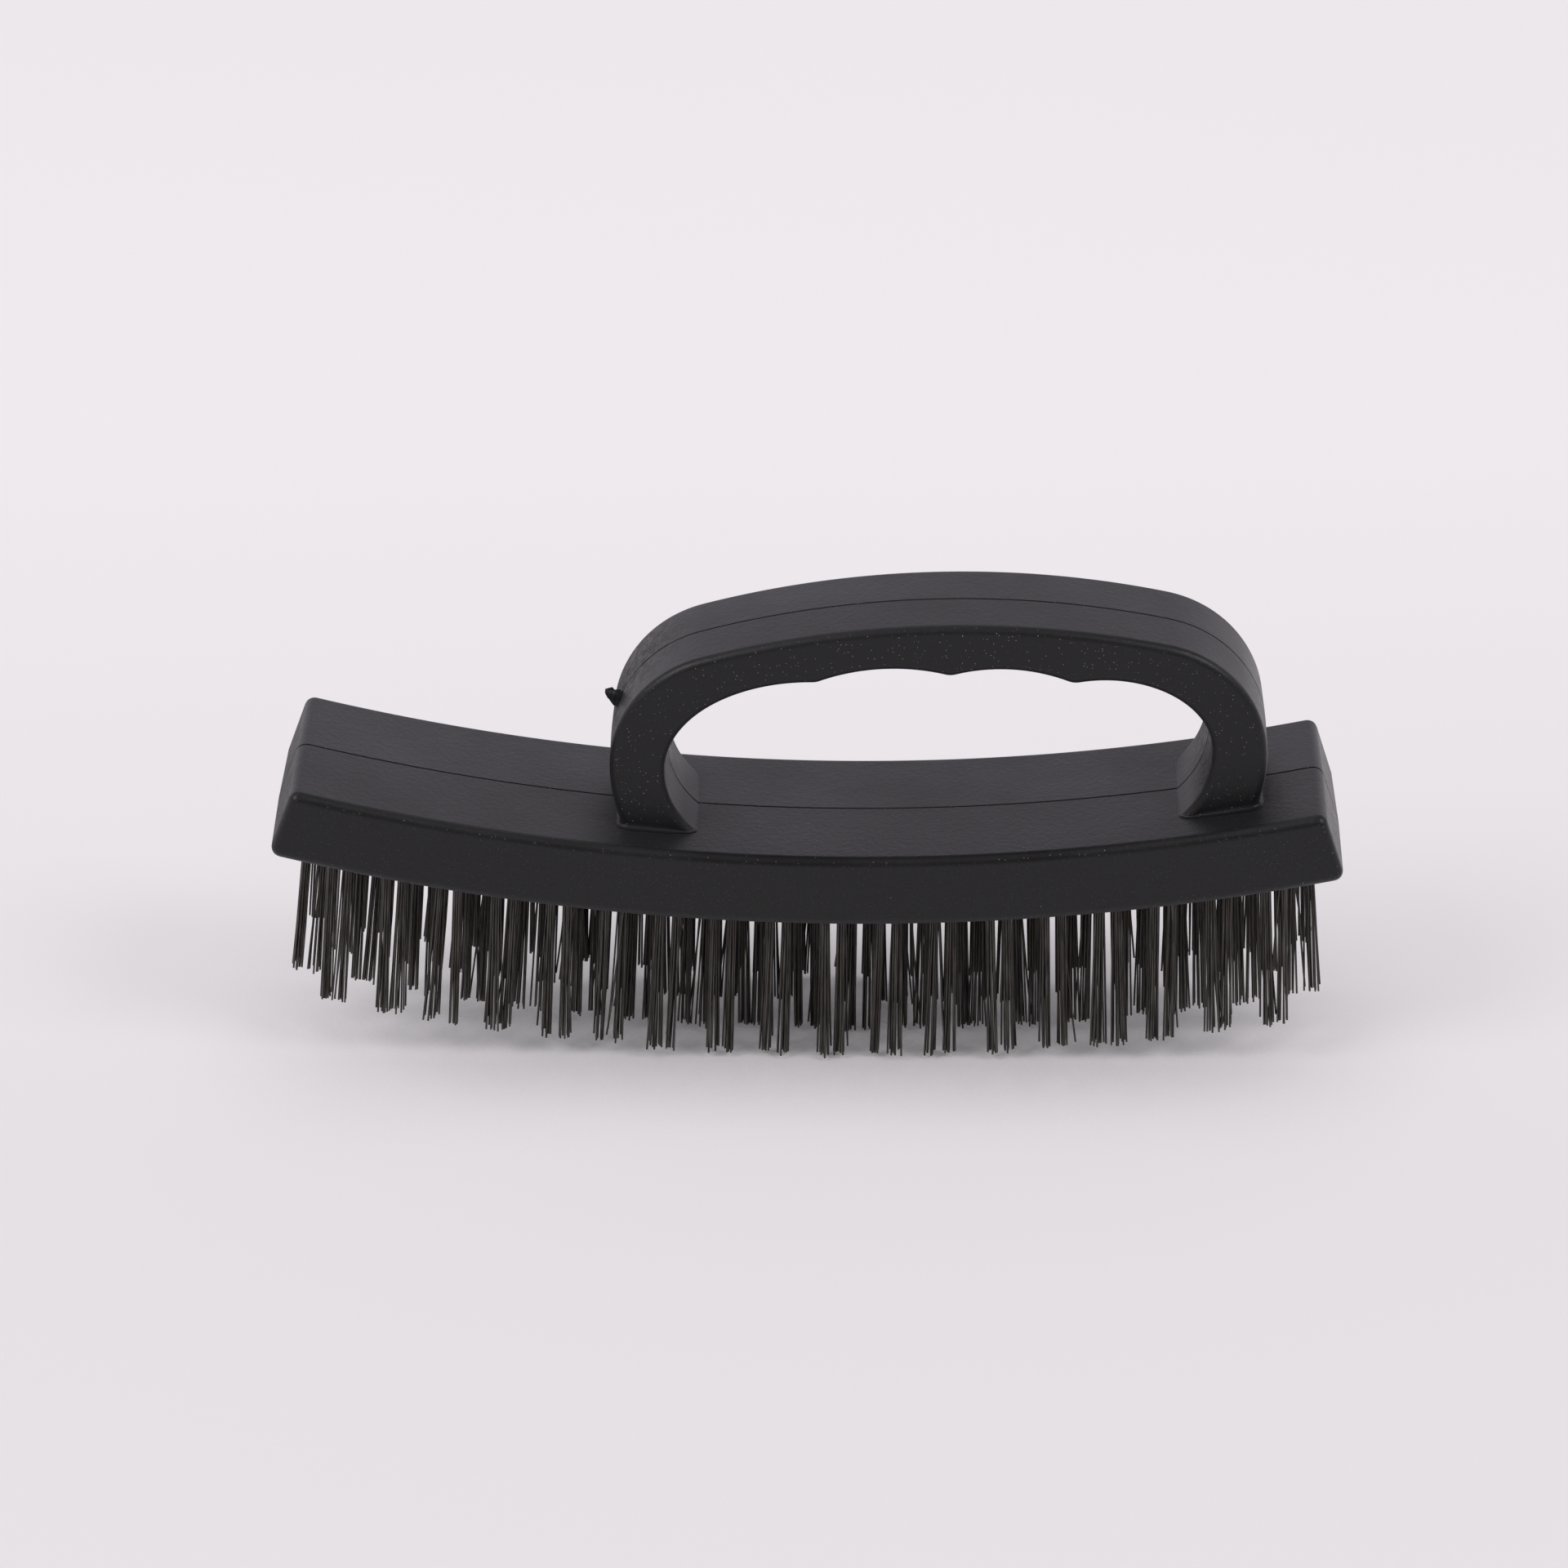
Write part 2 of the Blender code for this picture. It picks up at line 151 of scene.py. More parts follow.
WIRE_R = 0.0002
WIRES_PER_TUFT = 11
WIRE_PITCH = 2 * WIRE_R * 1.06
LEG_GAP_MOUTH = 0.0016    # half the distance between a tuft's two legs
LEG_GAP_TIP = 0.0016
LEG_LEAN = 0.0008         # how far a leg's tip may lie off its place along the block
LEG_LEAN_ACROSS = 0.0007
LEG_SPREAD = (0.9, 2.0)   # a leg's width at its tip, against its width at the hole
WIRE_WANDER = 0.00022
WIRE_BOW = 0.00005
CUT_SPREAD = 0.0006       # the wires of a leg end this unevenly
TUFT_SHORT = 0.0007       # and a whole tuft up to this much early
STRAY_SHARE = 0.13
STRAY_WANDER = 0.0012
STRAY_SHORT = 0.002
FOLD_SHOULDER = 0.0022    # depth below the hole's bottom at which a wire turns in to its fold
FOLD_HALF = 0.0009        # half the fold's width there, for the innermost wires
FOLD_STEP = 0.00018
FOLD_TOP = 0.0005         # depth of the fold's top below the hole's bottom
FOLD_NEST = 0.00012       # the folds lie in each other by this step

STAPLE_HALF = 0.0020
STAPLE_TALL = 0.0009
STAPLE_THIN = 0.0002
STAPLE_DEPTH = 0.0030     # below the hole's bottom

REST_TILT = math.radians(0.987)
SHIFT = Vector((0.00003, 0.0, 0.04606))

# ---- colours ----
PLASTIC_DEEP = (0.0038, 0.0034, 0.0042)
PLASTIC_LIGHT = (0.0058, 0.0053, 0.0063)
# painted light: lighter colour of the right end face, standing in for the side light that falls on it
PLASTIC_END_PAINTED_LIGHT = (0.078, 0.073, 0.076)
DUST_COLOUR = (0.60, 0.585, 0.57)
WIRE_DARK = (0.016, 0.0145, 0.013)
WIRE_LIGHT = (0.118, 0.109, 0.101)
WIRE_BROWN = (0.048, 0.039, 0.032)
STAPLE_DARK = (0.30, 0.29, 0.28)
STAPLE_LIGHT = (0.42, 0.41, 0.40)
FLOOR_DARK = (0.296, 0.285, 0.292)
FLOOR_LIGHT = (0.302, 0.291, 0.298)

# ---- camera: the photograph's viewpoint ----
CAM_AZIMUTH = 0.942
CAM_ELEVATION = 27.0
CAM_DISTANCE = 1.3321
CAM_AIM = Vector((-0.00466, 0.0, 0.05086))
CAM_LENS = 159.85
CAM_SENSOR = 36.0

# ---- studio light; a softbox has a name, place, aim, width, depth and power ----
WALL_LIGHT = 0.93
ROOM_LIGHT = 0.12
FLOOR_GLOW = 0.490
BACK_GLOW = 0.575           # the sweep glows more towards its back
UNDER_SHADE_REACH = 0.040   # and glows less where something stands this close above it
WALL_COLOUR = (0.865, 0.82, 0.92)
GLOW_COLOUR = (1.0, 0.96, 0.99)
BOX_COLOUR = (1.0, 0.985, 1.0)
FLOOR_HALF = 14.0
SOFTBOXES = (
    ("left", (-1.90, -1.15, 2.20), (0.0, 0.0, 0.0), 1.2, 1.2, 47.0),
    ("right", (1.90, -1.05, 2.20), (0.0, 0.0, 0.0), 1.2, 1.2, 42.0),
    ("back", (-0.20, 0.60, 1.55), (0.0, 0.40, 0.0), 1.8, 0.8, 4.5),
    ("strip", (-1.30, -1.50, 1.05), (0.0, 0.0, 0.05), 1.0, 0.25, 3.0),
)


def settle(point):
    """From the block's own frame to the shared frame."""
    c, s = math.cos(REST_TILT), math.sin(REST_TILT)
    return Vector((point[0] * c + point[2] * s, point[1], point[2] * c - point[0] * s)) + SHIFT


def link(obj):
    bpy.context.scene.collection.objects.link(obj)
    return obj


def mesh_object(name, verts, faces, mat):
    mesh = bpy.data.meshes.new(name)
    mesh.from_pydata([tuple(v) for v in verts], [], faces)
    mesh.materials.append(mat)
    mesh.update()
    return link(bpy.data.objects.new(name, mesh))


def outward(obj):
    """Turns a closed body's faces outwards."""
    bm = bmesh.new()
    bm.from_mesh(obj.data)
    bmesh.ops.recalc_face_normals(bm, faces=bm.faces)
    bm.to_mesh(obj.data)
    bm.free()
    return obj


def drop(obj):
    mesh = obj.data
    bpy.data.objects.remove(obj, do_unlink=True)
    bpy.data.meshes.remove(mesh)


def boolean(obj, tool, operation):
    """Joins or cuts at once, and removes the tool."""
    mod = obj.modifiers.new("bool", "BOOLEAN")
    mod.operation = operation
    mod.solver = "EXACT"
    mod.object = tool
    mesh = bpy.data.meshes.new_from_object(obj.evaluated_get(bpy.context.evaluated_depsgraph_get()))
    obj.modifiers.clear()
    old = obj.data
    obj.data = mesh
    bpy.data.meshes.remove(old)
    drop(tool)


# ---- outlines in the XZ plane, clockwise, so that the left side is outside ----

def arc_z(x, depth):
    r = ARC_R + depth
    return ARC_R - math.sqrt(r * r - x * x)


def on_arc(angle, depth):
    r = ARC_R + depth
    return r * math.sin(angle), ARC_R - r * math.cos(angle)


def arc_points(cx, cz, rx, rz, start, end, steps):
    out = []
    for i in range(steps + 1):
        a = math.radians(start + (end - start) * i / steps)
        out.append((cx + rx * math.cos(a), cz + rz * math.sin(a)))
    return out


def chord_arc(p, q, rise, steps):
    """Arc from p to q that bulges upwards by rise, without its end points."""
    (x0, z0), (x1, z1) = p, q
    half = math.hypot(x1 - x0, z1 - z0) / 2
    r = (half * half + rise * rise) / (2 * rise)
    ux, uz = (x1 - x0) / (2 * half), (z1 - z0) / (2 * half)
    cx, cz = (x0 + x1) / 2 + uz * (r - rise), (z0 + z1) / 2 - ux * (r - rise)
    a0 = math.degrees(math.atan2(z0 - cz, x0 - cx))
    a1 = math.degrees(math.atan2(z1 - cz, x1 - cx))
    return arc_points(cx, cz, r, r, a0, a1, steps)[1:-1]


def round_corner(before, corner, after, r, steps):
    """Arc of radius r in place of a corner."""
    p = Vector(corner)
    d0 = (p - Vector(before)).normalized()
    d1 = (Vector(after) - p).normalized()
    turn = d0.angle_signed(d1)
    reach = r * math.tan(abs(turn) / 2)
    start = p - d0 * reach
    side = -math.copysign(1, turn)
    centre = start + Vector((-d0.y, d0.x)) * r * side
    out = []
    for i in range(steps + 1):
        out.append(tuple(centre + Matrix.Rotation(-turn * i / steps, 2) @ (start - centre)))
    return out


def soft_join(left, corner, right, r):
    """Joins two lines at a corner that an arc of radius r rounds off."""
    arc = round_corner(left[-1], corner, right[0], r, CORNER_STEPS)
    reach = (Vector(arc[0]) - Vector(corner)).length * 1.15
    left = [p for p in left if (Vector(p) - Vector(corner)).length > reach]
    right = [p for p in right if (Vector(p) - Vector(corner)).length > reach]
    return left + arc + right


def block_outline():
    shares = [2 * i / ARC_STEPS - 1 for i in range(ARC_STEPS + 1)]
    top = [on_arc(END_ANGLE_TOP * share, 0.0) for share in shares]
    bottom = [on_arc(-END_ANGLE_BOT * share, BLOCK_T) for share in shares]
    corners = ((bottom[-1], top[0], top[1]), (top[-2], top[-1], bottom[0]),
               (top[-1], bottom[0], bottom[1]), (bottom[-2], bottom[-1], top[0]))
    arcs = [round_corner(*c, BLOCK_CORNER_R, CORNER_STEPS) for c in corners]
    return arcs[0] + top[1:-1] + arcs[1] + arcs[2] + bottom[1:-1] + arcs[3]


def crest_join(cx, side):
    return math.degrees(math.asin((cx - CREST_X) * side / (CREST_R - SHOULDER_R)) * side)


def grip_outer():
    crown_cz = CREST_Z - CREST_R
    left_cx = LEFT_OUT_X + SHOULDER_R
    right_cx = RIGHT_OUT_X - SHOULDER_R
    join_l = crest_join(left_cx, -1)
    join_r = crest_join(right_cx, 1)
    foot_z = arc_z(LEFT_OUT_X, 0.0) - LEG_SINK
    fall = math.degrees(math.asin((LEFT_OUT_Z - foot_z) / HEEL_R))
    pts = arc_points(LEFT_OUT_X + HEEL_R, LEFT_OUT_Z, HEEL_R, HEEL_R, 180 + fall, 180, HEEL_STEPS)
    pts += arc_points(left_cx, LEFT_OUT_Z, SHOULDER_R, SHOULDER_R, 180, 90 - join_l,
                      SHOULDER_STEPS)[1:]
    right = arc_points(right_cx, RIGHT_OUT_Z, SHOULDER_R, SHOULDER_R, 90 - join_r, 0, SHOULDER_STEPS)
    lift_l = pts[-1][1] - (crown_cz + CREST_R * math.cos(math.radians(join_l)))
    lift_r = right[0][1] - (crown_cz + CREST_R * math.cos(math.radians(join_r)))
    crown = arc_points(CREST_X, crown_cz, CREST_R, CREST_R, 90 - join_l, 90 - join_r, CREST_STEPS)
    for i in range(1, CREST_STEPS):
        t = i / CREST_STEPS
        x, z = crown[i]
        pts.append((x, z + (1 - t) ** 3 * lift_l + t ** 3 * lift_r))
    pts += right
    foot_z = arc_z(RIGHT_OUT_X, 0.0) - LEG_SINK
    fall = math.degrees(math.asin((RIGHT_OUT_Z - foot_z) / HEEL_R))
    pts += arc_points(RIGHT_OUT_X - HEEL_R, RIGHT_OUT_Z, HEEL_R, HEEL_R, 0, -fall,
                      HEEL_STEPS)[1:]
    return pts


def flare_angle(wall_x, wall_z, r, side):
    """How far a flare's arc runs down, in degrees, to end just inside the block."""
    foot_x = wall_x + side * 0.008
    for _ in range(6):
        fall = min((wall_z - arc_z(foot_x, 0.0) + LEG_SINK / 2) / r, 0.99)
        foot_x = wall_x + side * r * (1 - math.cos(math.asin(fall)))
    return math.degrees(math.asin(fall))


def grip_inner():
    fall = flare_angle(INNER_RIGHT_X, INNER_RIGHT_Z, FLARE_RIGHT_R, -1)
    pts = arc_points(INNER_RIGHT_X - FLARE_RIGHT_R, INNER_RIGHT_Z, FLARE_RIGHT_R, FLARE_RIGHT_R,
                     -fall, 0, FLARE_STEPS)
    rx = INNER_RIGHT_X - LAST_GROOVE_X
    rz = LAST_GROOVE_Z - INNER_RIGHT_Z
    stop = math.degrees(math.acos((GROOVE_END_RIGHT[0] - LAST_GROOVE_X) / rx))
    pts += arc_points(LAST_GROOVE_X, INNER_RIGHT_Z, rx, rz, 0, stop, LAST_GROOVE_STEPS)[1:]
    first = chord_arc(GROOVE_MID, pts[-1], GROOVE_RISE, GROOVE_STEPS)[::-1]
    second = chord_arc(GROOVE_END_LEFT, GROOVE_MID, GROOVE_RISE, GROOVE_STEPS)[::-1]
    rx = GROOVE_END_LEFT[0] - INNER_LEFT_X
    rz = GROOVE_END_LEFT[1] - INNER_LEFT_Z
    last = arc_points(GROOVE_END_LEFT[0], INNER_LEFT_Z, rx, rz, 90, 180, FIRST_GROOVE_STEPS)[1:]
    pts = soft_join(pts[:-1], pts[-1], first, CUSP_R)
    pts = soft_join(pts, GROOVE_MID, second, CUSP_R)
    pts = soft_join(pts, GROOVE_END_LEFT, last, CUSP_R)
    fall = flare_angle(INNER_LEFT_X, INNER_LEFT_Z, FLARE_LEFT_R, 1)
    pts += arc_points(INNER_LEFT_X + FLARE_LEFT_R, INNER_LEFT_Z, FLARE_LEFT_R, FLARE_LEFT_R,
                      180, 180 + fall, FLARE_STEPS)[1:]
    return pts


def line_normals(pts, closed):
    out = []
    last = len(pts) - 1
    for i, p in enumerate(pts):
        before = Vector(p) - Vector(pts[i - 1]) if i > 0 or closed else None
        after = Vector(pts[(i + 1) % len(pts)]) - Vector(p) if i < last or closed else None
        d0 = (before or after).normalized()
        d1 = (after or before).normalized()
        n0 = Vector((-d0.y, d0.x))
        mid = (n0 + Vector((-d1.y, d1.x))).normalized()
        out.append(mid / mid.dot(n0))
    return out


def moulding(name, line, normals, half_w, edge_r, plastic):
    """Flat-sided body with rounded edges: the outline, swept across and drafted both ways."""
    layers = []
    for k in range(EDGE_STEPS + 1):
        a = math.radians(90 * k / EDGE_STEPS)
        layers.append((edge_r * (1 - math.sin(a)), half_w - edge_r * (1 - math.cos(a))))
    front = [(inset, -y) for inset, y in layers]
    layers = front + [(0.0, SEAM_Y)] + layers[::-1]
    verts = []
    for inset, y in layers:
        inset += DRAFT * abs(y - SEAM_Y)
        for (x, z), nrm in zip(line, normals):
            verts.append((x - nrm.x * inset, y, z - nrm.y * inset))
    n = len(line)
    last = (len(layers) - 1) * n
    faces = [tuple(range(n)), tuple(last + i for i in reversed(range(n)))]
    for s in range(len(layers) - 1):
        for i in range(n):
            j = (i + 1) % n
            faces.append((s * n + i, (s + 1) * n + i, (s + 1) * n + j, s * n + j))
    return outward(mesh_object(name, verts, faces, plastic))


def make_nub(plastic):
    """Torn stub of the moulding gate on the left shoulder: a ragged fin that tapers off."""
    rng = random.Random(5)
    centre = Vector((LEFT_OUT_X + SHOULDER_R - 0.0005, NUB_ROOT.y, LEFT_OUT_Z))
    axis = (NUB_ROOT - centre).normalized()
    side = Vector((0.0, 1.0, 0.0))
    up = side.cross(axis)
    n = NUB_SIDES
    verts = []
    faces = [tuple(reversed(range(n)))]
    for height, scale in NUB_LEVELS:
        lean = up * (height * NUB_LEAN)
        for k in range(n):
            a = 2 * math.pi * k / n
            ragged = NUB_RAGGED * rng.uniform(-1, 1) if height > NUB_ROUND_BELOW else 0.0
            r = NUB_R * scale * (1 + ragged)
            across = side * (r * NUB_FLAT * math.cos(a)) + up * (r * math.sin(a))
            jag = axis * (rng.uniform(-1, 1) * NUB_JAG if height > NUB_TORN_ABOVE else 0.0)
            verts.append(NUB_ROOT + axis * (height * NUB_STRETCH) + lean + across + jag)
    verts.append(NUB_ROOT + axis * NUB_TIP + up * (NUB_TIP / 3))
    for s in range(len(NUB_LEVELS) - 1):
        for k in range(n):
            m = (k + 1) % n
            faces.append((s * n + k, s * n + m, (s + 1) * n + m, (s + 1) * n + k))
    last = (len(NUB_LEVELS) - 1) * n
    for k in range(n):
        faces.append((last + k, last + (k + 1) % n, last + n))
    return mesh_object("nub_tool", verts, faces, plastic)


def tuft_frame(x_mouth, y):
    """Matrix of a tuft: its origin at the hole's mouth, local Z up along the hole."""
    x_tip = x_mouth * (1 + TUFT_FAN)
    axis = Vector((x_mouth - x_tip, 0.0, TRIM_LEN)).normalized()
    along = Vector((0.0, 1.0, 0.0)).cross(axis)
    return Matrix(((along.x, 0.0, axis.x, x_mouth),
                   (along.y, 1.0, axis.y, y),
                   (along.z, 0.0, axis.z, arc_z(x_mouth, BLOCK_T)),
                   (0.0, 0.0, 0.0, 1.0)))


def tuft_places():
    out = []
    for row, count in enumerate(ROW_COUNT):
        for i in range(count):
            out.append((row, i, (i - (count - 1) / 2) * TUFT_PITCH, ROW_Y[row]))
    return out


def hole_cutter(plastic):
    verts = []
    faces = []
    n = HOLE_SIDES
    rings = ((-HOLE_OVERCUT, 1.0), (HOLE_DEPTH - HOLE_CONE, 1.0), (HOLE_DEPTH, HOLE_CONE_SHARE))
    for _, _, x, y in tuft_places():
        frame = tuft_frame(x, y)
        base = len(verts)
        for height, scale in rings:
            for k in range(n):
                a = 2 * math.pi * k / n
                r = HOLE_R * scale
                verts.append(frame @ Vector((r * math.cos(a), r * math.sin(a), height)))
        faces.append(tuple(base + i for i in reversed(range(n))))
        faces.append(tuple(base + 2 * n + i for i in range(n)))
        for s in range(2):
            for i in range(n):
                j = (i + 1) % n
                low = base + s * n
                faces.append((low + i, low + j, low + n + j, low + n + i))
    return mesh_object("hole_tool", verts, faces, plastic)


def wall_foot(wall_x, wall_z, r, side, bend):
    """Where an arc of wall meets the block: x, and how far it leans outwards per height.

    side is the way the wall faces; bend is +1 for a heel that undercuts, -1 for a flare."""
    centre = wall_x - side * bend * r
    x = wall_x
    for _ in range(8):
        fall = min((wall_z - arc_z(x, 0.0)) / r, 0.99)
        x = centre + side * bend * r * math.sqrt(1 - fall * fall)
    return x, bend * fall / math.sqrt(1 - fall * fall)


def setback(lean):
    """Reach of a rounding along its walls: less where the wall meets the block at a slant."""
    return 1.0 if lean > 0 else FLARE_BLEND


def foot_plan(left, right):
    """Rounded outline of a foot: x, y, outward direction, lean and rounding, all round."""
    flat = GRIP_HALF_W - GRIP_EDGE_R
    ring = []
    for sx, (x, lean), sy in ((1, right, -1), (1, right, 1), (-1, left, 1), (-1, left, -1)):
        wide = GRIP_EDGE_R * math.sqrt(1 + lean * lean)
        side = 1.0 if lean > 0 else FLARE_ROUNDING
        corner = []
        for k in range(CORNER_STEPS + 1):
            a = math.radians(90 * k / CORNER_STEPS)
            push = Vector((sx * math.cos(a) / wide, sy * math.sin(a) / GRIP_EDGE_R)).normalized()
            blend = math.cos(a) ** 2
            px = x - sx * wide * (1 - math.cos(a))
            py = sy * (flat + GRIP_EDGE_R * math.sin(a))
            corner.append((px, py, push, lean * blend, side + (setback(lean) - side) * blend))
        ring += corner[::-1] if sx != sy else corner
    out = []
    for i, p in enumerate(ring):
        q = ring[(i + 1) % len(ring)]
        out.append(p)
        if abs(p[0] - q[0]) > 0.004:
            for k in range(1, FOOT_SPLITS):
                t = k / FOOT_SPLITS
                ease = t ** 3 if q[4] < p[4] else 1 - (1 - t) ** 3
                out.append((p[0] + (q[0] - p[0]) * t, p[1], p[2], 0.0, p[4] + (q[4] - p[4]) * ease))
    return out


def foot_fillet(left, right, plastic):
    """Ring that rounds the inside edge where one foot of the grip meets the block."""
    plan = foot_plan(left, right)
    verts = []
    for x, y, push, lean, size in plan:
        up = Vector((lean, 1.0)).normalized() * (FOOT_FILLET * size)
        out = Vector((FOOT_FILLET * size, 0.0))
        section = [up - Vector((FOOT_SINK, 0.0))]
        for k in range(EDGE_STEPS + 1):
            t = k / EDGE_STEPS
            section.append(up * (1 - t) ** 2 + out * t ** 2)
        section.append(out - Vector((0.0, FOOT_SINK)))
        section.append(Vector((-FOOT_SINK, -FOOT_SINK)))
        rings = len(section)
        for d, h in section:
            px = x + push.x * d
            verts.append((px, y + push.y * d, arc_z(px, 0.0) + h))
    n = len(plan)
    faces = []
    for i in range(n):
        j = (i + 1) % n
        for k in range(rings):
            m = (k + 1) % rings
            faces.append((i * rings + k, j * rings + k, j * rings + m, i * rings + m))
    return outward(mesh_object("fillet_tool", verts, faces, plastic))


def cut_seam(obj):
    """Fine step of the parting line all round the moulding, as a shallow V."""
    bm = bmesh.new()
    bm.from_mesh(obj.data)
    for y in (SEAM_Y - SEAM_HALF_W, SEAM_Y, SEAM_Y + SEAM_HALF_W):
        geom = bm.verts[:] + bm.edges[:] + bm.faces[:]
        bmesh.ops.bisect_plane(bm, geom=geom, dist=1e-6, plane_co=(0, y, 0), plane_no=(0, 1, 0))
    bm.normal_update()
    for v in bm.verts:
        if abs(v.co.y - SEAM_Y) < SEAM_HALF_W / 2:
            v.co -= Vector((v.normal.x, 0.0, v.normal.z)) * SEAM_DEPTH
    bm.to_mesh(obj.data)
    bm.free()


def make_body(plastic):
    line = block_outline()
    body = moulding("brush_body", line, line_normals(line, True), BLOCK_HALF_W, BLOCK_EDGE_R, plastic)
    outer, inner = grip_outer(), grip_inner()
    normals = line_normals(outer, False) + line_normals(inner, False)
    grip = moulding("grip_tool", outer + inner, normals, GRIP_HALF_W, GRIP_EDGE_R, plastic)
    boolean(body, grip, "UNION")
    heel = wall_foot(LEFT_OUT_X, LEFT_OUT_Z, HEEL_R, -1, 1)
    flare = wall_foot(INNER_LEFT_X, INNER_LEFT_Z, FLARE_LEFT_R, 1, -1)
    boolean(body, foot_fillet(heel, flare, plastic), "UNION")
    heel = wall_foot(RIGHT_OUT_X, RIGHT_OUT_Z, HEEL_R, 1, 1)
    flare = wall_foot(INNER_RIGHT_X, INNER_RIGHT_Z, FLARE_RIGHT_R, -1, -1)
    boolean(body, foot_fillet(flare, heel, plastic), "UNION")
    boolean(body, make_nub(plastic), "UNION")
    boolean(body, hole_cutter(plastic), "DIFFERENCE")
    cut_seam(body)
    for v in body.data.vertices:
        v.co = settle(v.co)
    body.data.shade_smooth()
    body.data.set_sharp_from_angle(angle=SHARP_MOULDING)
    mod = body.modifiers.new("weighted", "WEIGHTED_NORMAL")
    mod.keep_sharp = True
    mod.weight = 60
    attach(body, "root")
    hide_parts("body")


# ---- tufts ----

def tube(path, radius, verts, faces, sides=6):
    """Adds a closed wire along a path of points."""
    first = len(verts)
    tangent = (path[1] - path[0]).normalized()
    side = tangent.orthogonal().normalized()
    n = len(path)
    for i, p in enumerate(path):
        ahead = path[min(i + 1, n - 1)] - path[max(i - 1, 0)]
        tangent = ahead.normalized()
        side = (side - tangent * side.dot(tangent)).normalized()
        other = tangent.cross(side)
        for k in range(sides):
            a = 2 * math.pi * k / sides
            verts.append(p + (side * math.cos(a) + other * math.sin(a)) * radius)
    for i in range(n - 1):
        for k in range(sides):
            m = (k + 1) % sides
            low = first + i * sides
            faces.append((low + k, low + m, low + sides + m, low + sides + k))
    faces.append(tuple(first + k for k in reversed(range(sides))))
    faces.append(tuple(first + (n - 1) * sides + k for k in range(sides)))


def leg_slots(rng):
    """Places of a leg's wires in its cross-section, in units of the wire pitch."""
    slots = []
    for row in range(3):
        for col in range(4):
            shift = 0.25 if row % 2 else -0.25
            slots.append(((col - 1.5 + shift), (row - 1) * 0.9))
    slots.pop(rng.choice((0, 3, 8, 11)))
    return slots


def make_tuft(name, x, y, wire, rng):
    """Eleven wires folded over the staple: two legs of eleven ends each."""
    frame = tuft_frame(x, y)
    trim_r = ARC_R + BLOCK_T + TRIM_LEN
    cut = rng.uniform(0.0, TUFT_SHORT)
    legs = {}
    for side in (-1, 1):
        legs[side] = {
            "slots": leg_slots(rng),
            "tip": Vector((side * (LEG_GAP_TIP + rng.uniform(-LEG_LEAN, LEG_LEAN)),
                           rng.uniform(-LEG_LEAN_ACROSS, LEG_LEAN_ACROSS), 0.0)),
            "spread": rng.uniform(*LEG_SPREAD),
        }
    verts = []
    faces = []
    for w in range(WIRES_PER_TUFT):
        path = []
        for side in (-1, 1):
            leg = legs[side]
            col, row = leg["slots"][w]
            col *= -side
            mouth = Vector((side * LEG_GAP_MOUTH + col * WIRE_PITCH, row * WIRE_PITCH * 1.2, 0.0))
            stray = rng.random() < STRAY_SHARE
            wander = STRAY_WANDER if stray else WIRE_WANDER
            tip = leg["tip"] + Vector((col * WIRE_PITCH * leg["spread"] + rng.gauss(0, wander),
                                       row * WIRE_PITCH * leg["spread"] * 1.3 + rng.gauss(0, wander),
                                       0.0))
            short = cut + abs(rng.gauss(0, CUT_SPREAD))
            short += rng.uniform(0.0, STRAY_SHORT) if stray else 0.0
            bow = rng.gauss(0, WIRE_BOW)
            points = []
            for t in (1.0, 0.66, 0.33, 0.0):
                p = mouth.lerp(tip, t)
                p.x += bow * math.sin(math.pi * t)
                p.z = -TRIM_LEN * t
                points.append(frame @ p)
            end = points[0]
            end.z = ARC_R - math.sqrt(trim_r * trim_r - end.x * end.x) + WIRE_R + short
            turn_x = side * (FOLD_HALF + FOLD_STEP * (row + 1)) + col * WIRE_PITCH * 0.5
            points.append(frame @ Vector((turn_x, row * WIRE_PITCH, HOLE_DEPTH - FOLD_SHOULDER)))
            path += points if side == -1 else points[::-1]
            if side == -1:
                top = HOLE_DEPTH - FOLD_TOP - FOLD_NEST * (w % 4)
                path.append(frame @ Vector((0.0, row * WIRE_PITCH, top)))
        tube([settle(p) for p in path], WIRE_R, verts, faces)
    tuft = mesh_object(name, verts, faces, wire)
    tuft.data.shade_smooth()
    tuft.data.set_sharp_from_angle(angle=SHARP_WIRE)
    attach(tuft, "root")
    return tuft


def make_staple(name, x, y, steel):
    """Flat strip with two turned-in points that holds a fold at the bottom of its hole."""
    frame = tuft_frame(x, y)
    z = HOLE_DEPTH - STAPLE_DEPTH
    half, tall = STAPLE_HALF, STAPLE_TALL
    outline = ((-half, z - tall), (-half * 0.72, z - tall * 0.55), (half * 0.72, z - tall * 0.55),
               (half, z - tall), (half * 1.12, z + tall * 0.5), (half * 0.86, z + tall * 0.75),
               (-half * 0.86, z + tall * 0.75), (-half * 1.12, z + tall * 0.5))
    verts = []
    for dx in (-STAPLE_THIN, STAPLE_THIN):
        for yy, zz in outline:
            verts.append(settle(frame @ Vector((dx, yy, zz))))
    n = len(outline)
    faces = [tuple(reversed(range(n))), tuple(n + i for i in range(n))]
    for i in range(n):
        j = (i + 1) % n
        faces.append((i, j, n + j, n + i))
    staple = mesh_object(name, verts, faces, steel)
    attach(staple, "root")


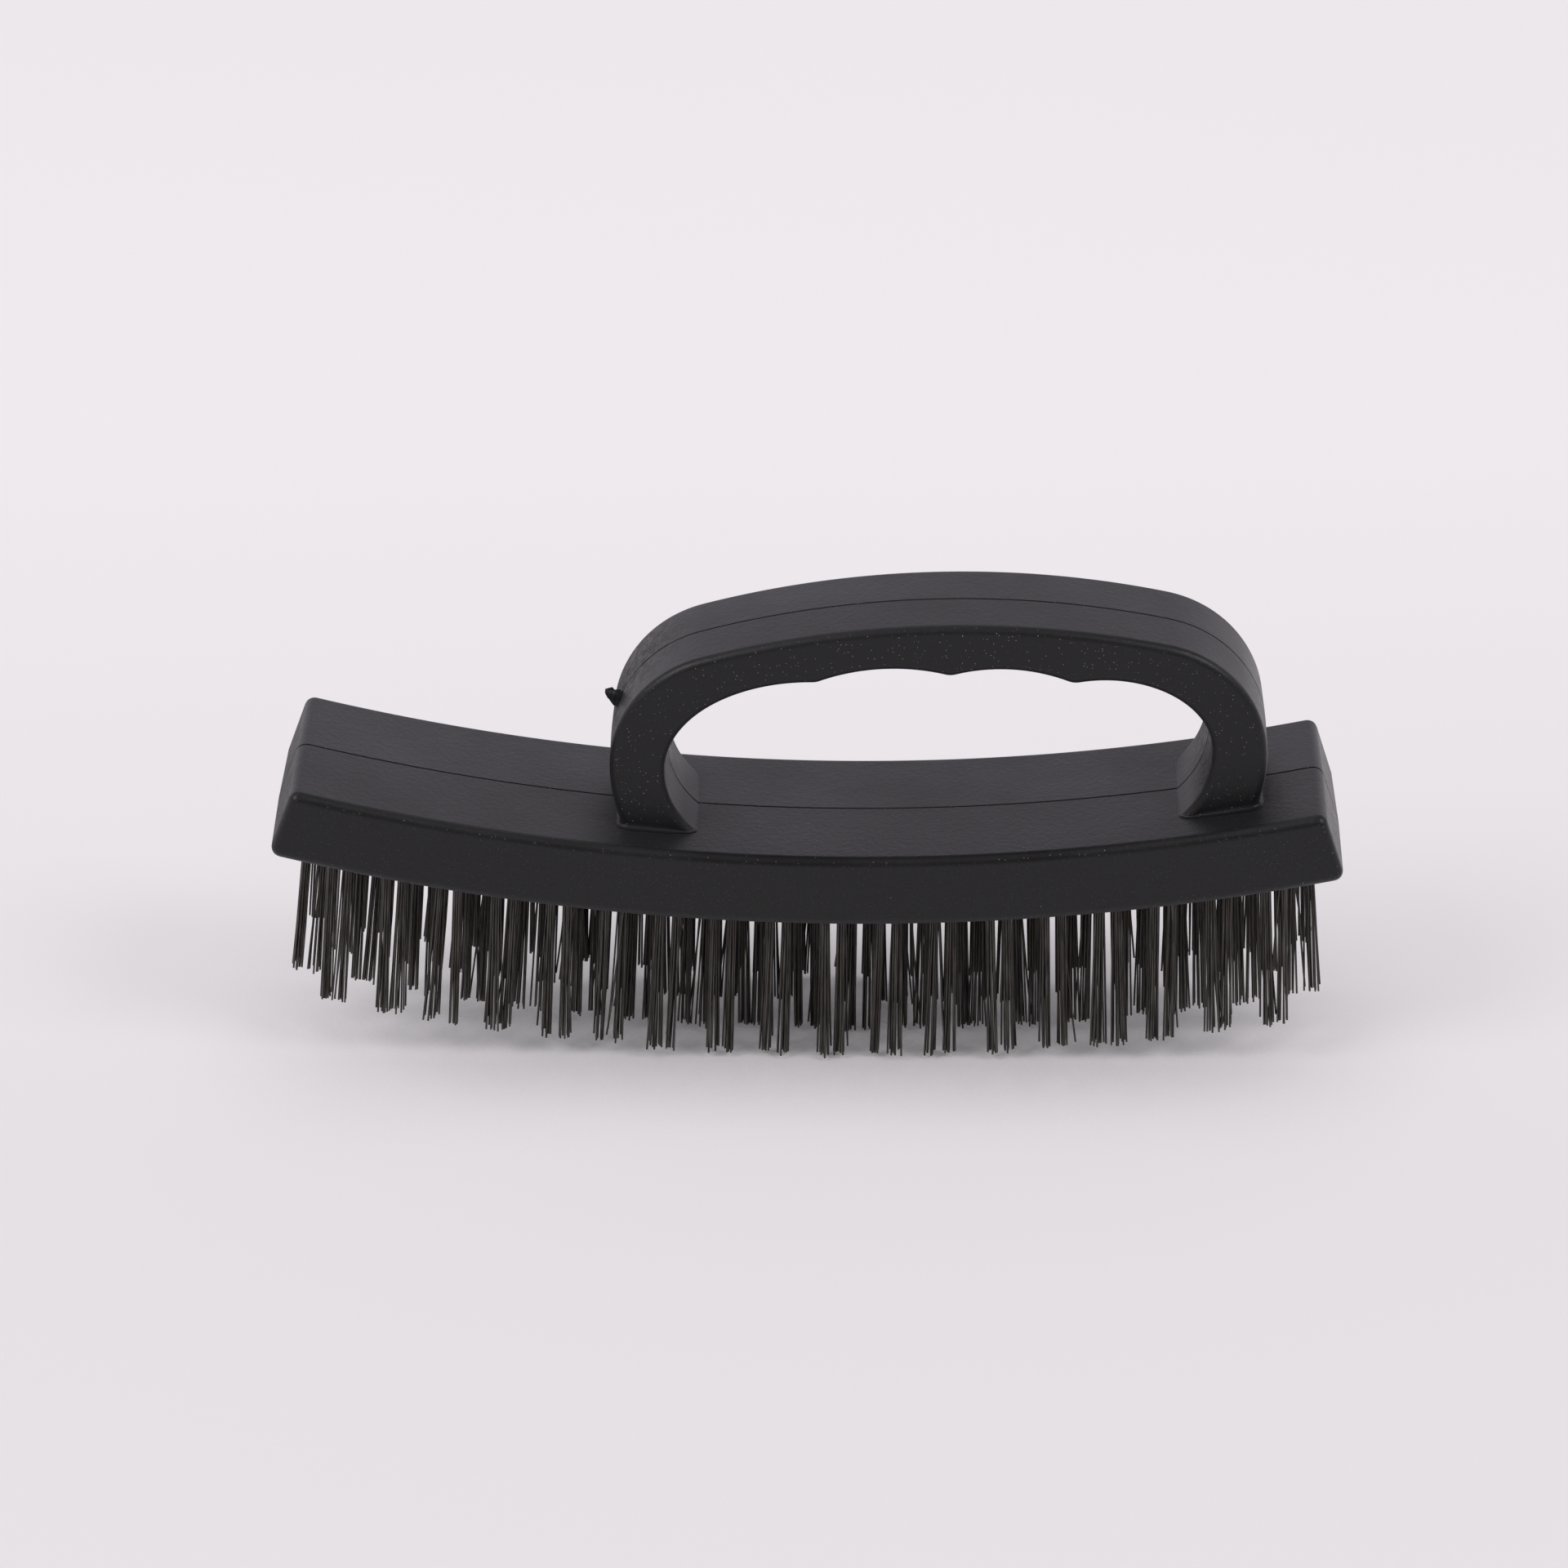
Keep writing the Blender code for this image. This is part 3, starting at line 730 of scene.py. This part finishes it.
def make_tufts(wire, steel):
    rng = random.Random(74)
    tufts = {}
    for row, i, x, y in tuft_places():
        tag = "row%d_%02d" % (row + 1, i + 1)
        tufts[row, i] = make_tuft("wires_" + tag, x, y, wire, rng)
        make_staple("staple_" + tag, x, y, steel)
    for (row, i), tuft in tufts.items():
        if row == 0:
            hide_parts("tuft_row1_%02d" % (i + 1))
        elif row == 3:
            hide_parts("tuft_row4_%02d" % (i + 1))
        elif i < ROW_COUNT[2]:
            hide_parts("tuft_pair_row2_row3_%02d" % (i + 1))
        else:
            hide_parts("tuft_row2_%02d" % (i + 1))


# ---- materials ----

class Nodes:
    """Short helper to wire up a material's node tree."""

    def __init__(self, name):
        self.mat = bpy.data.materials.new(name)
        self.mat.use_nodes = True
        self.tree = self.mat.node_tree
        self.bsdf = self.tree.nodes["Principled BSDF"]

    def add(self, kind, **values):
        node = self.tree.nodes.new(kind)
        for key, value in values.items():
            if hasattr(node, key):
                setattr(node, key, value)
            else:
                node.inputs[key.replace("_", " ")].default_value = value
        return node

    def link(self, out, into):
        self.tree.links.new(out, into)

    def ramp(self, source, low, high, a, b):
        """Linear map of a value from low..high to a..b, clamped."""
        node = self.add("ShaderNodeMapRange")
        node.inputs["From Min"].default_value = low
        node.inputs["From Max"].default_value = high
        node.inputs["To Min"].default_value = a
        node.inputs["To Max"].default_value = b
        self.link(source, node.inputs["Value"])
        return node.outputs["Result"]

    def math(self, op, a, b=None):
        node = self.add("ShaderNodeMath", operation=op)
        for slot, value in ((0, a), (1, b)):
            if value is None:
                continue
            if isinstance(value, (int, float)):
                node.inputs[slot].default_value = value
            else:
                self.link(value, node.inputs[slot])
        return node.outputs[0]

    def mix(self, fac, a, b):
        node = self.add("ShaderNodeMix", data_type="RGBA")
        if isinstance(fac, (int, float)):
            node.inputs[0].default_value = fac
        else:
            self.link(fac, node.inputs[0])
        for slot, value in ((6, a), (7, b)):
            if isinstance(value, tuple):
                node.inputs[slot].default_value = (*value, 1.0)
            else:
                self.link(value, node.inputs[slot])
        return node.outputs[2]


def plastic_material():
    """Black moulded polypropylene: fine grain, dust specks, faint smears, flow marks, painted light
    on the right end.
    """
    n = Nodes("black_polypropylene")
    coord = n.add("ShaderNodeTexCoord").outputs["Object"]

    def noise(scale, detail, rough=0.5, vector=coord):
        node = n.add("ShaderNodeTexNoise", Scale=scale, Detail=detail, Roughness=rough)
        n.link(vector, node.inputs["Vector"])
        return node.outputs["Fac"]

    def specks(cell, radius, share):
        """Small round specks, one at most in each cell, in a share of the cells."""
        voro = n.add("ShaderNodeTexVoronoi", Scale=1 / cell)
        n.link(coord, voro.inputs["Vector"])
        dot = n.ramp(voro.outputs["Distance"], radius / cell * 0.6, radius / cell, 1.0, 0.0)
        pick = n.add("ShaderNodeSeparateColor")
        n.link(voro.outputs["Color"], pick.inputs["Color"])
        keep = n.math("LESS_THAN", pick.outputs["Red"], share)
        strength = n.math("POWER", n.ramp(pick.outputs["Green"], 0.0, 1.0, 0.3, 1.0), 3.0)
        return n.math("MULTIPLY", n.math("MULTIPLY", dot, keep), strength)

    smear = noise(28.0, 4.0, 0.6)
    patches = noise(90.0, 3.0)
    grain = noise(2300.0, 3.0, 0.65)
    pebble = noise(900.0, 3.0, 0.55)

    geo = n.add("ShaderNodeNewGeometry")
    split = n.add("ShaderNodeSeparateXYZ")
    n.link(geo.outputs["Normal"], split.inputs["Vector"])
    sidewall = n.ramp(n.math("ABSOLUTE", split.outputs["Y"]), 0.5, 0.9, 0.25, 1.0)

    fine = specks(0.00068, 0.00010, 0.70)
    coarse = specks(0.0026, 0.00012, 0.20)
    dust = n.math("MAXIMUM", fine, coarse)
    dust = n.math("MULTIPLY", dust, sidewall)
    dust = n.math("MULTIPLY", dust, n.ramp(patches, 0.40, 0.60, 0.45, 0.90))
    grit = n.ramp(noise(4200.0, 2.0, 0.6), 0.60, 0.74, 0.0, 0.03)
    dust = n.math("MAXIMUM", dust, n.math("MULTIPLY", grit, sidewall))

    base = n.mix(n.ramp(smear, 0.35, 0.65, 0.0, 1.0), PLASTIC_DEEP, PLASTIC_LIGHT)
    # painted light: faces turned to the right, the right end face, are mixed to a lighter colour as
    # if lit from that side
    right_end_painted_light = n.ramp(split.outputs["X"], 0.8, 0.95, 0.0, 1.0)
    base = n.mix(right_end_painted_light, base, PLASTIC_END_PAINTED_LIGHT)
    n.link(n.mix(dust, base, DUST_COLOUR), n.bsdf.inputs["Base Color"])

    # torn flow marks round the gate stub
    gate = n.add("ShaderNodeVectorMath", operation="DISTANCE")
    n.link(coord, gate.inputs[0])
    gate.inputs[1].default_value = settle(GATE_MARKS)
    near = n.ramp(gate.outputs["Value"], 0.004, 0.016, 1.0, 0.0)
    stretch = n.add("ShaderNodeMapping")
    stretch.inputs["Rotation"].default_value = (0.0, math.radians(35), math.radians(20))
    stretch.inputs["Scale"].default_value = (1.0, 0.45, 0.35)
    n.link(coord, stretch.inputs["Vector"])
    flow = noise(950.0, 5.0, 0.7, stretch.outputs["Vector"])
    flow = n.math("MULTIPLY", n.ramp(flow, 0.45, 0.7, 0.0, 1.0), near)

    # dull, pitted skin on the two end faces
    ends = n.ramp(n.math("ABSOLUTE", split.outputs["X"]), 0.8, 0.95, 0.0, 1.0)
    pits = n.ramp(noise(700.0, 4.0, 0.7), 0.45, 0.75, 0.0, 1.0)
    pits = n.math("MULTIPLY", pits, ends)

    height = n.math("ADD", n.math("MULTIPLY", grain, 0.35), n.math("MULTIPLY", pebble, 0.65))
    height = n.math("ADD", height, n.math("MULTIPLY", flow, 3.0))
    height = n.math("ADD", height, n.math("MULTIPLY", pits, 1.2))
    height = n.math("ADD", height, n.math("MULTIPLY", dust, 1.5))
    bump = n.add("ShaderNodeBump", Strength=0.8, Distance=0.00012)
    n.link(height, bump.inputs["Height"])
    n.link(bump.outputs["Normal"], n.bsdf.inputs["Normal"])

    rough = n.ramp(smear, 0.3, 0.7, 0.38, 0.52)
    rough = n.math("ADD", rough, n.math("MULTIPLY", flow, 0.2))
    rough = n.math("ADD", rough, n.math("MULTIPLY", pits, 0.12))
    n.link(rough, n.bsdf.inputs["Roughness"])
    n.link(n.ramp(split.outputs["X"], -0.95, -0.8, 0.02, 0.09), n.bsdf.inputs["Sheen Weight"])
    n.bsdf.inputs["Sheen Roughness"].default_value = 0.45
    n.link(n.ramp(split.outputs["X"], -0.95, -0.8, 0.12, 0.33), n.bsdf.inputs["Specular IOR Level"])
    return n.mat


def wire_material():
    """Dark oiled steel wire, with drawn streaks and browner stretches."""
    n = Nodes("oiled_steel_wire")
    coord = n.add("ShaderNodeTexCoord").outputs["Object"]
    stretch = n.add("ShaderNodeMapping")
    stretch.inputs["Scale"].default_value = (1.0, 1.0, 0.06)
    n.link(coord, stretch.inputs["Vector"])
    streak = n.add("ShaderNodeTexNoise", Scale=2200.0, Detail=3.0, Roughness=0.6)
    n.link(stretch.outputs["Vector"], streak.inputs["Vector"])
    blotch = n.add("ShaderNodeTexNoise", Scale=130.0, Detail=3.0)
    n.link(coord, blotch.inputs["Vector"])
    base = n.mix(n.ramp(streak.outputs["Fac"], 0.3, 0.7, 0.0, 1.0), WIRE_DARK, WIRE_LIGHT)
    brown = n.mix(n.ramp(blotch.outputs["Fac"], 0.45, 0.7, 0.0, 0.6), base, WIRE_BROWN)
    n.link(brown, n.bsdf.inputs["Base Color"])
    n.bsdf.inputs["Metallic"].default_value = 0.75
    n.link(n.ramp(streak.outputs["Fac"], 0.3, 0.7, 0.30, 0.46), n.bsdf.inputs["Roughness"])
    bump = n.add("ShaderNodeBump", Strength=0.3, Distance=0.00001)
    n.link(streak.outputs["Fac"], bump.inputs["Height"])
    n.link(bump.outputs["Normal"], n.bsdf.inputs["Normal"])
    return n.mat


def staple_material():
    """Plain rolled steel strip."""
    n = Nodes("staple_steel")
    coord = n.add("ShaderNodeTexCoord").outputs["Object"]
    noise = n.add("ShaderNodeTexNoise", Scale=1500.0, Detail=3.0)
    n.link(coord, noise.inputs["Vector"])
    n.link(n.mix(noise.outputs["Fac"], STAPLE_DARK, STAPLE_LIGHT), n.bsdf.inputs["Base Color"])
    n.bsdf.inputs["Metallic"].default_value = 1.0
    n.link(n.ramp(noise.outputs["Fac"], 0.3, 0.7, 0.3, 0.45), n.bsdf.inputs["Roughness"])
    return n.mat


def floor_material():
    """Matt pale sweep with painted light: it glows, more towards its back, and painted shade where
    something stands close above it.
    """
    n = Nodes("pale_floor")
    coord = n.add("ShaderNodeTexCoord").outputs["Object"]
    noise = n.add("ShaderNodeTexNoise", Scale=3.0, Detail=2.0)
    n.link(coord, noise.inputs["Vector"])
    n.link(n.mix(noise.outputs["Fac"], FLOOR_DARK, FLOOR_LIGHT), n.bsdf.inputs["Base Color"])
    n.bsdf.inputs["Roughness"].default_value = 0.9
    n.bsdf.inputs["Specular IOR Level"].default_value = 0.1
    n.bsdf.inputs["Emission Color"].default_value = (*GLOW_COLOUR, 1.0)
    split = n.add("ShaderNodeSeparateXYZ")
    n.link(coord, split.inputs["Vector"])
    # painted shade: ambient occlusion dims the glow under the brush; painted light: the glow rises
    # towards the back
    shade = n.add("ShaderNodeAmbientOcclusion", samples=8)
    shade.inputs["Distance"].default_value = UNDER_SHADE_REACH
    glow = n.ramp(split.outputs["Y"], -0.05, 0.28, FLOOR_GLOW, BACK_GLOW)
    n.link(n.math("MULTIPLY", glow, shade.outputs["AO"]), n.bsdf.inputs["Emission Strength"])
    return n.mat


# ---- studio ----

def make_floor():
    h = FLOOR_HALF
    corners = [(-h, -h, 0), (h, -h, 0), (h, h, 0), (-h, h, 0)]
    floor = mesh_object("studio_floor", corners, [(0, 1, 2, 3)], floor_material())


def area_light(name, place, target, width, depth, power, colour):
    light = bpy.data.lights.new(name, "AREA")
    light.shape = "RECTANGLE"
    light.size = width
    light.size_y = depth
    light.energy = power
    light.color = colour
    obj = link(bpy.data.objects.new(name, light))
    obj.location = place
    obj.rotation_euler = (Vector(target) - Vector(place)).to_track_quat("-Z", "Y").to_euler()


def make_light():
    """Softboxes at both sides, a white wall low down behind the brush, a dim room in front."""
    world = bpy.data.worlds.new("studio")
    bpy.context.scene.world = world
    world.use_nodes = True
    tree = world.node_tree
    back = tree.nodes["Background"]
    coord = tree.nodes.new("ShaderNodeTexCoord")
    split = tree.nodes.new("ShaderNodeSeparateXYZ")
    tree.links.new(coord.outputs["Generated"], split.inputs["Vector"])

    def ramp(source, low, high, a, b):
        node = tree.nodes.new("ShaderNodeMapRange")
        node.interpolation_type = "SMOOTHSTEP"
        for key, value in (("From Min", low), ("From Max", high), ("To Min", a), ("To Max", b)):
            node.inputs[key].default_value = value
        tree.links.new(source, node.inputs["Value"])
        return node.outputs["Result"]

    wall = tree.nodes.new("ShaderNodeMath")
    wall.operation = "MULTIPLY"
    tree.links.new(ramp(split.outputs["Y"], -0.3, 0.6, 0.0, 1.0), wall.inputs[0])
    tree.links.new(ramp(split.outputs["Z"], 0.44, 0.68, 1.0, 0.0), wall.inputs[1])
    total = tree.nodes.new("ShaderNodeMath")
    total.operation = "MULTIPLY_ADD"
    tree.links.new(wall.outputs[0], total.inputs[0])
    total.inputs[1].default_value = WALL_LIGHT
    total.inputs[2].default_value = ROOM_LIGHT
    tree.links.new(total.outputs[0], back.inputs["Strength"])
    back.inputs["Color"].default_value = (*WALL_COLOUR, 1.0)
    for softbox in SOFTBOXES:
        area_light(*softbox, BOX_COLOUR)


def make_camera():
    a, e = math.radians(CAM_AZIMUTH), math.radians(CAM_ELEVATION)
    back = Vector((math.sin(a) * math.cos(e), -math.cos(a) * math.cos(e), math.sin(e)))
    data = bpy.data.cameras.new("camera")
    data.lens = CAM_LENS
    data.sensor_width = CAM_SENSOR
    data.clip_end = 50.0
    cam = link(bpy.data.objects.new("camera", data))
    cam.location = CAM_AIM + back * CAM_DISTANCE
    cam.rotation_euler = (-back).to_track_quat("-Z", "Y").to_euler()
    bpy.context.scene.camera = cam


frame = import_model()
bpy.context.scene.view_settings.view_transform = "Standard"
make_camera()
make_light()
make_floor()
make_body(plastic_material())
make_tufts(wire_material(), staple_material())
